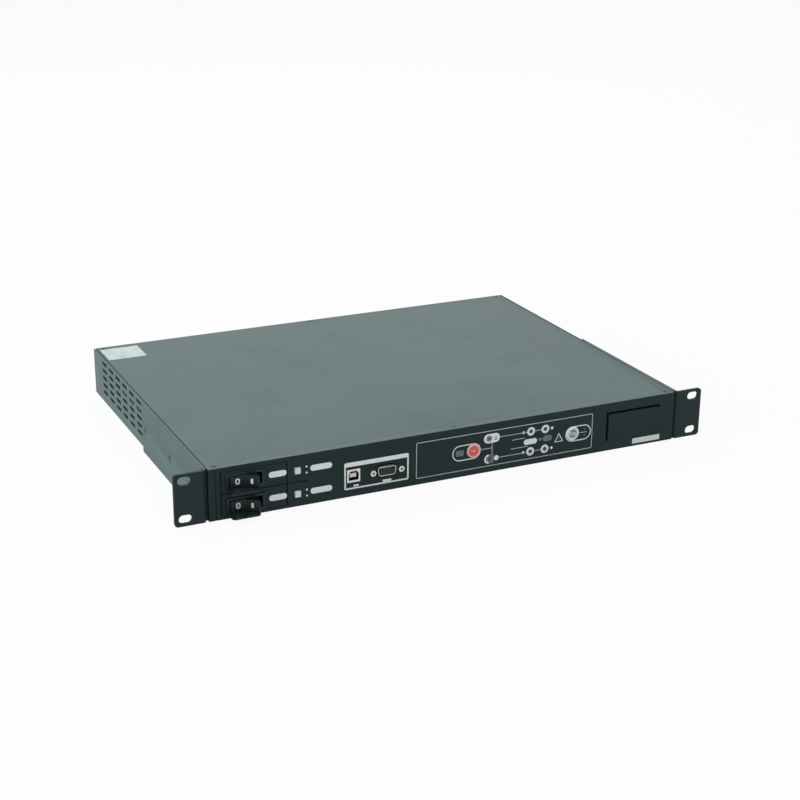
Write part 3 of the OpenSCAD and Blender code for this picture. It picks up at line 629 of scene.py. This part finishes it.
joints = {joint["child"]: joint for joint in frame["joints"]}
for rocker in ("upper_rocker", "lower_rocker"):
    pivot = joints[rocker]["pos_m"]
    off_mark = print_lines(rocker + "_off_mark", 1.2, body=rocker,
                           loops=[pill(0, 0, MARK_HIGH, MARK_WIDE)])
    off_mark.data.transform(slope_place(pivot, -1) @ Matrix.Rotation(math.pi / 2, 4, "Y"))
    on_outline = rounded(-ON_MARK_HALF, -MARK_HIGH / 2, ON_MARK_HALF, MARK_HIGH / 2, 0.3)
    plates(rocker + "_on_mark", [on_outline], rocker, white_ink,
           place=slope_place(pivot, 1))


# ---------------------------------------------------------------- select buttons
# White nylon caps on tactile switches, one for each source, with a light satin face.
CAP_ROUND = 0.3 * MM

white_plastic = moulded("white_moulding", (0.74, 0.76, 0.75, 1), (0.66, 0.68, 0.66, 1), 0.34)
for level_name in ("upper", "lower"):
    eased("select_button_" + level_name, CAP_ROUND, white_plastic, segments=3)
dress(black_plastic, "select_switch_upper", "select_switch_lower")


# ---------------------------------------------------------------- ports
# A square USB socket in a plated steel shell and a nine-way serial socket with two hexagonal
# posts, framed by one printed box with a solid heading bar.
PORT_BOX = (-99.5, -15.5, -42.5, 7.8)
PORT_LINE = 1.4
HEADING_LOW = 4.1
HEADING_THICK = 0.065 * MM
SERIAL_PITCH = 2.3
SERIAL_ROW = 1.4
CONTACT_BORE = 0.46 * MM
CONTACT_WALL = 0.14 * MM
CONTACT_LENGTH = 1.4 * MM

nickel = plated("bright_nickel", (0.66, 0.66, 0.63, 1), (0.5, 0.5, 0.48, 1), 0.24)
eased("usb_shell", 0.15 * MM, nickel)
eased("serial_shell", 0.12 * MM, nickel)
dress(nickel, "serial_posts")
dress(white_plastic, "usb_insert")
dress(black_plastic, "serial_insert")

x0, z0, x1, z1 = PORT_BOX
half_line = PORT_LINE / 2
port_outline = rounded(x0 + half_line, z0 + half_line, x1 - half_line, z1 - half_line, 0.8)
print_lines("port_box", PORT_LINE, loops=[port_outline])
plates("port_heading", [rounded(x0 + 0.4, HEADING_LOW, x1 - 0.4, z1 - 0.2, 0.3)],
       "case", white_ink, thick=HEADING_THICK)
PORT_NAMES = [rounded(-91.5, -13.4, -87.0, -11.9, 0.3), rounded(-65.8, -14.0, -58.1, -12.0, 0.3)]
plates("port_names", PORT_NAMES, "case", white_ink)


def small_tubes(name, places, bore, wall, length, metal, sides=20):
    """Open tubes along Y, one on every place, as one piece of the case."""
    tree, start, end = start_tree(
        name, {"Bore": "Float", "Wall": "Float", "Length": "Float", "Metal": "Material"})
    outline = step(tree, "CurvePrimitiveCircle", {"Resolution": sides, "Radius": start["Bore"]})
    section = step(tree, "CurvePrimitiveQuadrilateral",
                   {"Width": start["Wall"], "Height": start["Length"]})
    tube = step(tree, "CurveToMesh", {"Curve": outline, "Profile Curve": section})
    lying = step(tree, "Transform", {"Geometry": tube, "Rotation": (math.pi / 2, 0, 0)})
    placed = step(tree, "InstanceOnPoints", {"Points": start["Geometry"], "Instance": lying})
    end_tree(tree, placed, start["Metal"], end)
    seeds = bpy.data.meshes.new(name)
    seeds.from_pydata(places, [], [])
    return grown(name, tree, seeds, "case",
                 {"Bore": bore, "Wall": wall, "Length": length, "Metal": metal})


serial_low, serial_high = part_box("serial_shell")
serial_x = (serial_low.x + serial_high.x) / 2
serial_z = (serial_low.z + serial_high.z) / 2
contact_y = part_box("serial_insert")[0].y + 1.4 * MM
contact_places = [
    (serial_x + (col - (count - 1) / 2) * SERIAL_PITCH * MM, contact_y, serial_z + rise * MM)
    for count, rise in ((5, SERIAL_ROW), (4, -SERIAL_ROW)) for col in range(count)]
small_tubes("serial_contacts", contact_places, CONTACT_BORE, CONTACT_WALL, CONTACT_LENGTH,
            brass)


# ---------------------------------------------------------------- flow diagram
# The display panel: a printed one-line diagram of both inputs, the thyristor switches and the
# output, with a lamp in each place, a red key and a white key in their pills.
DIAGRAM_BOX = (-36, -16.8, 131.3, 15.2)
INPUT_Z = (8.1, -10.2)
GATES = [(71, 8.1), (84.8, 8.1), (70.8, -9.9), (84.7, -9.9)]
KEY_PILLS = [rounded(-2.4, -7.2, 23.0, 5.8, 6.4), rounded(105, -7.2, 129.2, 5.7, 6.4)]

x0, z0, x1, z1 = DIAGRAM_BOX
print_lines("diagram_box", 0.7, ink=line_ink,
            loops=[rounded(x0 + 0.5, z0 + 0.5, x1 - 0.5, z1 - 0.5, 1.0)])
print_lines("key_pills", 0.9, loops=KEY_PILLS)
print_lines("diagram_lines", 0.65, ink=line_ink, strokes=[
    [(22.5, -0.6), (33.8, -0.6)],
    [(34.2, 3.9), (34.2, -6.0)],
    [(41.5, 8.0), (67, 8.0)],
    [(41.5, -10.2), (67, -10.2)],
    [(75, 8.1), (81, 8.1)],
    [(75, -9.9), (81, -9.9)],
    [(52.7, 3.1), (65, 3.1)],
    [(52, -4.8), (68, -4.8)],
    [(118.6, -0.7), (125.6, -0.7)],
])
print_lines("lamp_rings", 2.1, loops=[circle(x, z, 5.5) for x, z in GATES])
plates("diagram_marks", [
    pill(33.8, INPUT_Z[0], 15, 8.2),
    arc(31.2, INPUT_Z[1], 4.1, 90, 270, 16),
    circle(38.4, INPUT_Z[1], 4.6, 12),
    circle(63.9, 8.1, 2.6, 8), circle(91.2, 8.1, 2.6, 8),
    circle(63.9, -9.9, 2.6, 8), circle(91.2, -9.9, 2.6, 8),
    pill(70.6, -0.9, 12.7, 5),
], "case", white_ink)
plates("diagram_dim_marks", [
    rounded(0.4, -3.2, 7.7, 1.8, 0.6),
    pill(87.0, -0.4, 9.0, 5.4),
    rounded(78.3, -1.5, 81.8, 0.7, 0.8),
    rounded(31.25, INPUT_Z[1] - 4.05, 35.9, INPUT_Z[1] + 4.05, 0.4),
], "case", grey_ink)
print_lines("input_lamp_rings", 0.9, ink=dark_ink, height=0.07,
            loops=[circle(31.3, z, 4.4) for z in INPUT_Z]
            + [[(36.2, 6.6), (38.8, 6.6), (37.5, 9.8)]])
print_lines("fault_triangle", 1.3, loops=[[(94.4, -5.3), (102.0, -5.3), (98.2, 1.7)]])

lens = moulded("lamp_lens", (0.045, 0.06, 0.06, 1), (0.06, 0.075, 0.075, 1), 0.14,
               grain_size=0.002)
dress(lens, "status_lamps")

# The keys: a core inside a rim of another tone, each on its own switch.
KEY_ROUND = 0.12 * MM
RIM_BLUR = 0.2 * MM
CORE_SHADE = 0.82


def key_cap(name, core, rim, rim_start, centre):
    """A moulded key: a coloured core inside a paler rim, mixed by the distance from its axis."""
    cap = Finish(name)
    from_axis = cap.node("VectorMath", {0: cap.place(), 1: centre}, operation="SUBTRACT")
    flat = cap.node("VectorMath", {0: from_axis, 1: (1, 0, 1)}, operation="MULTIPLY")
    radius = cap.node("VectorMath", {0: flat}, output="Value", operation="LENGTH")
    is_rim = cap.clamp(radius, rim_start - RIM_BLUR, rim_start + RIM_BLUR)
    handled = cap.clamp(cap.noise(0.004, detail=4), 0.35, 0.7)
    shaded_core = cap.blend(handled, core, tuple(CORE_SHADE * c for c in core[:3]) + (1,))
    return cap.close(
        height=cap.noise(0.0006, detail=2), depth=0.00002,
        Base_Color=cap.blend(is_rim, shaded_core, rim),
        Roughness=cap.clamp(handled, 0, 1, 0.34, 0.26))


def middle_of(node):
    low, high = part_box(node)
    return (low + high) / 2


red_middle = middle_of("red_button")
white_middle = middle_of("white_button")
red_cap = key_cap("red_key", (0.72, 0.085, 0.1, 1), (0.8, 0.4, 0.41, 1), 4.5 * MM, red_middle)
white_cap = key_cap("white_key", (0.5, 0.54, 0.54, 1), (0.76, 0.79, 0.79, 1), 4.6 * MM,
                    white_middle)
eased("red_button", KEY_ROUND, red_cap)
eased("white_button", KEY_ROUND, white_cap)
dress(black_plastic, "red_button_switch", "white_button_switch")

# A printed bar on the red key, and two turning arcs round a dot on the white one.
KEY_FACE = Matrix.Translation((0, -0.3 * MM, 0))
key_x, key_z = red_middle.x / MM, red_middle.z / MM
pale_red_ink = screen_ink("pale_red_ink", (0.8, 0.34, 0.36, 1), (0.72, 0.24, 0.27, 1))
plates("red_key_mark", [rounded(key_x - 2.2, key_z - 0.8, key_x + 2.2, key_z + 0.8, 0.4)],
       "red_key", pale_red_ink, place=KEY_FACE)
key_x = white_middle.x / MM
turning_arcs = print_lines("white_key_arcs", 1.0, body="white_key", ink=dark_ink, strokes=[
    arc(key_x, key_z, 2.7, first, first + 115) for first in (20, 200)])
turning_arcs.data.transform(KEY_FACE)
plates("white_key_dot", [circle(key_x, key_z, 1.5, 10)], "white_key", dark_ink,
       place=KEY_FACE)


# ---------------------------------------------------------------- labels
# Bare polyester labels: a silvered one on the cover's rear corner and a white one below the
# card slot. Both are thin film with round corners, stuck on and slightly uneven.
LABEL_THICK = 0.12 * MM


def label_film(name, colour, shade, roughness, metal):
    film = Finish(name)
    lifted = film.clamp(film.noise(0.012, detail=2), 0.3, 0.75)
    streaks = film.clamp(film.noise(0.0035, detail=4, stretch=(0.4, 1, 1)), 0.5, 0.62)
    return film.close(
        height=film.noise(0.02, detail=1), depth=0.0003,
        Base_Color=film.blend(lifted * 0.3 + streaks * 0.7, colour, shade),
        Roughness=film.clamp(lifted, 0, 1, roughness, roughness + 0.1),
        Metallic=metal)


silver_film = label_film("silver_film", (0.49, 0.585, 0.59, 1), (0.37, 0.45, 0.455, 1), 0.4, 0.1)
white_film = label_film("white_film", (0.7, 0.75, 0.76, 1), (0.62, 0.67, 0.68, 1), 0.4, 0.0)
front_outline = rounded(172.3, -19.6, 200.2, -14.8, 0.5)
plates("front_label", [front_outline], "case", white_film, thick=LABEL_THICK)
cover_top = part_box("top_cover")[1].z
laid_flat = Matrix.Translation((0, 0, cover_top)) @ Matrix.Rotation(-math.pi / 2, 4, "X")
cover_outline = rounded(-211, 281.5, -175.6, 313, 1.2)
plates("cover_label", [cover_outline], "case", silver_film,
       place=laid_flat, thick=LABEL_THICK)


# ---------------------------------------------------------------- inside
# Boards on plated spacers, relays, sensors, film capacitors, thyristor blocks on their finned
# sink, copper bars and a small fan. A little of them shows through the side vents.
def circuit_board():
    """Green solder mask over copper: pale tracks in two directions."""
    board = Finish("circuit_board")
    across = board.noise(0.006, detail=0, stretch=(0.08, 1, 1))
    down = board.noise(0.006, detail=0, stretch=(1, 0.08, 1))
    tracks = board.clamp(across, 0.52, 0.54) * board.clamp(across, 0.6, 0.58)
    cross_tracks = board.clamp(down, 0.52, 0.54) * board.clamp(down, 0.6, 0.58)
    copper = board.clamp(tracks + cross_tracks, 0, 1)
    return board.close(
        height=copper, depth=0.00004,
        Base_Color=board.blend(copper, (0.012, 0.11, 0.05, 1), (0.035, 0.21, 0.1, 1)),
        Roughness=board.clamp(board.noise(0.02), 0.3, 0.7, 0.24, 0.36))


green_board = circuit_board()
dress(green_board, "select_board", "mimic_board", "power_board", "control_board")
zinc = plated("zinc_plate", (0.6, 0.61, 0.6, 1), (0.45, 0.46, 0.45, 1), 0.3)
dress(zinc, "board_pillars", "board_screws", "card_slot_screws")
aluminium = plated("extruded_aluminium", (0.72, 0.73, 0.74, 1), (0.62, 0.63, 0.64, 1), 0.34)
dress(aluminium, "heat_sink")
copper = plated("bar_copper", (0.72, 0.36, 0.2, 1), (0.5, 0.24, 0.13, 1), 0.26)
dress(copper, "power_bars")
dress(black_plastic, "thyristor_1", "thyristor_2", "thyristor_3", "thyristor_4", "fan_frame")
dress(moulded("fan_moulding", (0.03, 0.033, 0.036, 1), (0.045, 0.048, 0.05, 1), 0.36), "fan_rotor")
dress(moulded("relay_case", (0.03, 0.04, 0.085, 1), (0.045, 0.055, 0.1, 1), 0.38),
      "relay_1", "relay_2", "current_sensors")
dress(moulded("film_box", (0.62, 0.5, 0.1, 1), (0.55, 0.44, 0.08, 1), 0.32), "filter_capacitors")


def varnished_winding():
    """Varnished laminations and wire: fine even lines round the core."""
    winding = Finish("varnished_winding")
    lines = winding.node("TexWave", {"Vector": winding.place(), "Scale": 900.0, "Distortion": 0.6},
                         output=1, wave_type="BANDS", bands_direction="Z")
    return winding.close(
        height=lines, depth=0.0001,
        Base_Color=winding.blend(lines, (0.08, 0.06, 0.045, 1), (0.22, 0.16, 0.1, 1)),
        Roughness=0.35)


dress(varnished_winding(), "supply_transformer")


# ---------------------------------------------------------------- rear sockets
# Two appliance inlets for the two supplies, one large outlet and two strips of four smaller
# outlets, all black mouldings, with brass pins and contacts and plated fixing screws.
for socket in ("inlet_1", "inlet_2", "main_outlet", "outlet_bank_1", "outlet_bank_2"):
    eased(socket, MOULDING_ROUND, black_plastic)
dress(brass, "inlet_pins")
dress(zinc, "rear_screws", "earth_stud")
